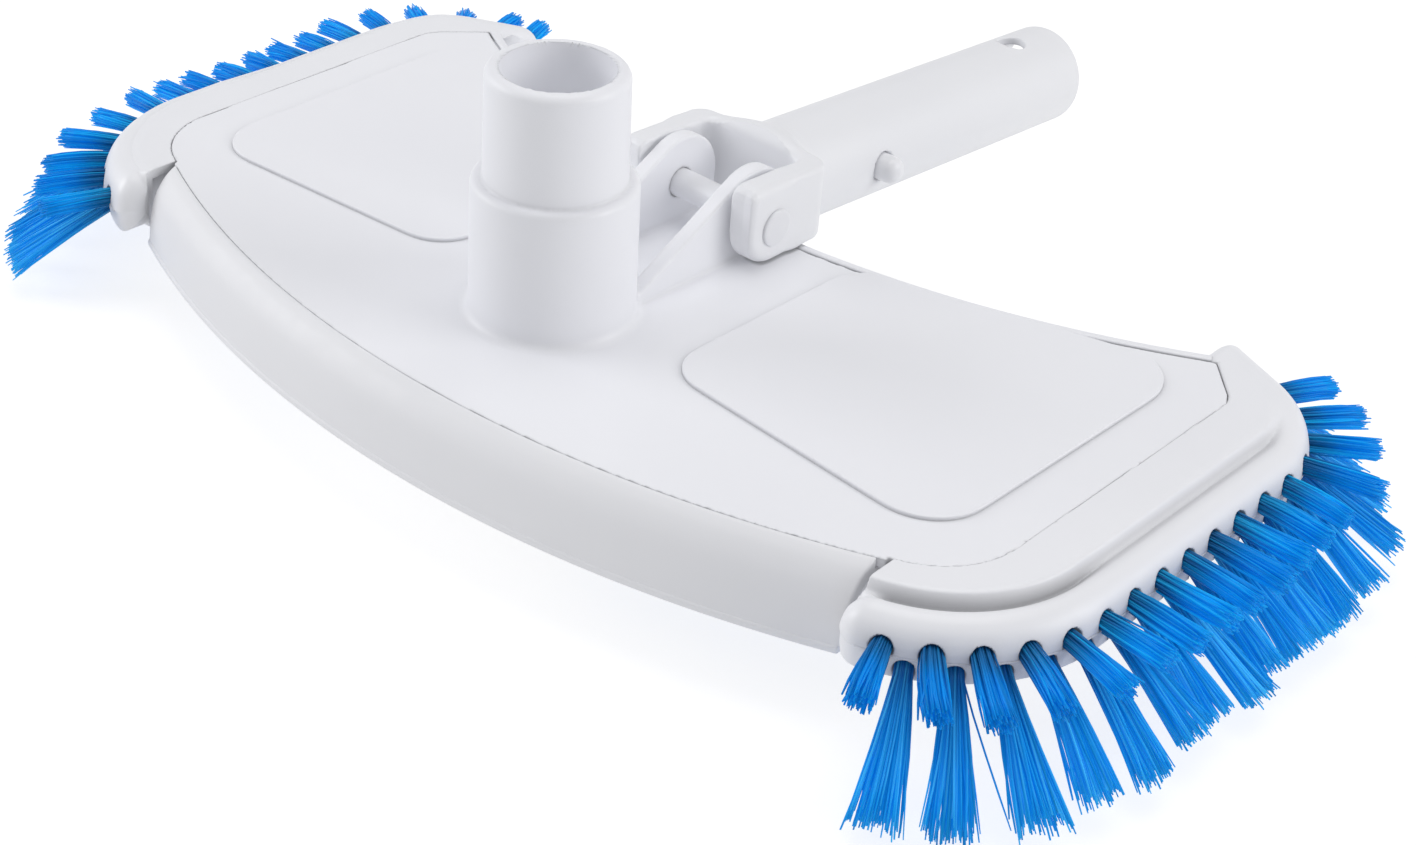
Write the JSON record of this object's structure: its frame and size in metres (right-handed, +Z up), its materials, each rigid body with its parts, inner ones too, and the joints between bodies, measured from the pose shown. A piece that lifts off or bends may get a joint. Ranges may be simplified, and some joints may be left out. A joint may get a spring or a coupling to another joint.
{
  "type": "manual vacuum head",
  "caption": "Curved, weighted underwater vacuum head with an upright hose port, side brushes at both ends and a hinged pole handle with snap buttons.",
  "frame": {"origin": "on the hose port's axis, half way up its bore, 47 mm above the front bumper's lower edge", "axes": "+X along the head, +Y from the port towards the pole handle, +Z up along the hose port"},
  "size_m": [0.3536, 0.2564, 0.0951],
  "materials": {
    "body_plastic": "moulded white ABS, semi-gloss",
    "bumper_vinyl": "soft white vinyl, satin",
    "brush_block": "moulded white polypropylene, satin",
    "cover_plastic": "moulded white ABS, fine texture",
    "handle_plastic": "moulded white ABS, semi-gloss",
    "pin_plastic": "moulded white nylon",
    "bristle": "blue polypropylene filaments, glossy and slightly translucent",
    "ballast": "cast, dull",
    "steel": "stainless steel",
    "spring_steel": "stainless spring strip"
  },
  "bodies": {
    "head": {"body_shell": "body_plastic", "front_bumper": "bumper_vinyl", "left_end_cap": "brush_block", "right_end_cap": "brush_block", "left_upper_bristles": "bristle", "right_upper_bristles": "bristle", "left_lower_bristles": "bristle", "right_lower_bristles": "bristle", "left_floor_bristles": "bristle", "right_floor_bristles": "bristle", "left_tuft_staples": "steel", "right_tuft_staples": "steel", "left_weight": "ballast", "right_weight": "ballast", "left_weight_cover": "cover_plastic", "right_weight_cover": "cover_plastic", "cover_screws": "steel", "end_cap_screws": "steel"},
    "handle": {"handle": "handle_plastic", "hinge_pin": "pin_plastic", "pin_retainer": "pin_plastic", "button_spring": "spring_steel"},
    "left_button": {"left_snap_button": "pin_plastic"},
    "right_button": {"right_snap_button": "pin_plastic"}
  },
  "joints": [
    {"name": "handle_hinge", "type": "hinge", "parent": "head", "child": "handle", "pos_m": [0, 0.0529, -0.0182], "axis": [1, 0, 0], "range_deg": [0, 90]},
    {"name": "left_button_press", "type": "slide", "parent": "handle", "child": "left_button", "axis": [1, 0, 0], "range_m": [0, 0.0056], "stiffness_N_per_m": 900, "springref_m": -0.002, "deforming": ["button_spring"]},
    {"name": "right_button_press", "type": "slide", "parent": "handle", "child": "right_button", "axis": [-1, 0, 0], "range_m": [0, 0.0056], "stiffness_N_per_m": 900, "springref_m": -0.002, "deforming": ["button_spring"]}
  ]
}
